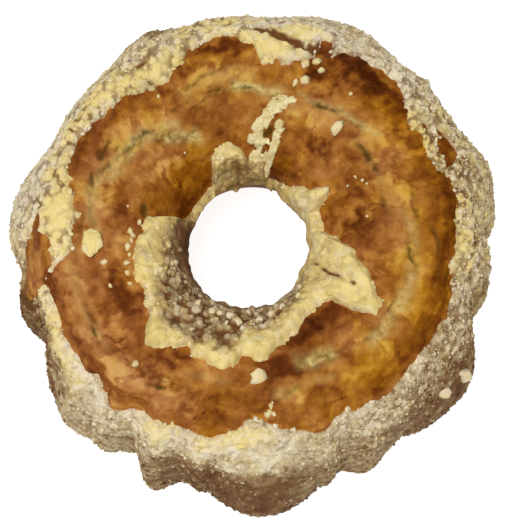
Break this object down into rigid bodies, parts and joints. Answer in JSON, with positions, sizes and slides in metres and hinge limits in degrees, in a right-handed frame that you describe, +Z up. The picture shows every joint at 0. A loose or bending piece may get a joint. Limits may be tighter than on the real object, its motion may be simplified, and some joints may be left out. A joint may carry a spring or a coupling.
{
  "type": "coffee cake",
  "caption": "Fluted ring coffee cake resting crust upwards, with pale streusel crumbs coating its wall and lining its hole.",
  "frame": {"origin": "centre of the cake's outline on the flat base it rests on", "axes": "+Z up through the hole, -Y towards the viewer of the picture, +X to the right of the picture"},
  "size_m": [0.236, 0.241, 0.1055],
  "materials": {
    "cake_crust": "baked brown crust, faintly glossy",
    "streusel": "dry crumbly streusel, matt"
  },
  "bodies": {
    "root": {"cake_ring": "cake_crust", "streusel_coat": "streusel", "streusel_collar": "streusel", "streusel_lump": "streusel"}
  },
  "joints": []
}
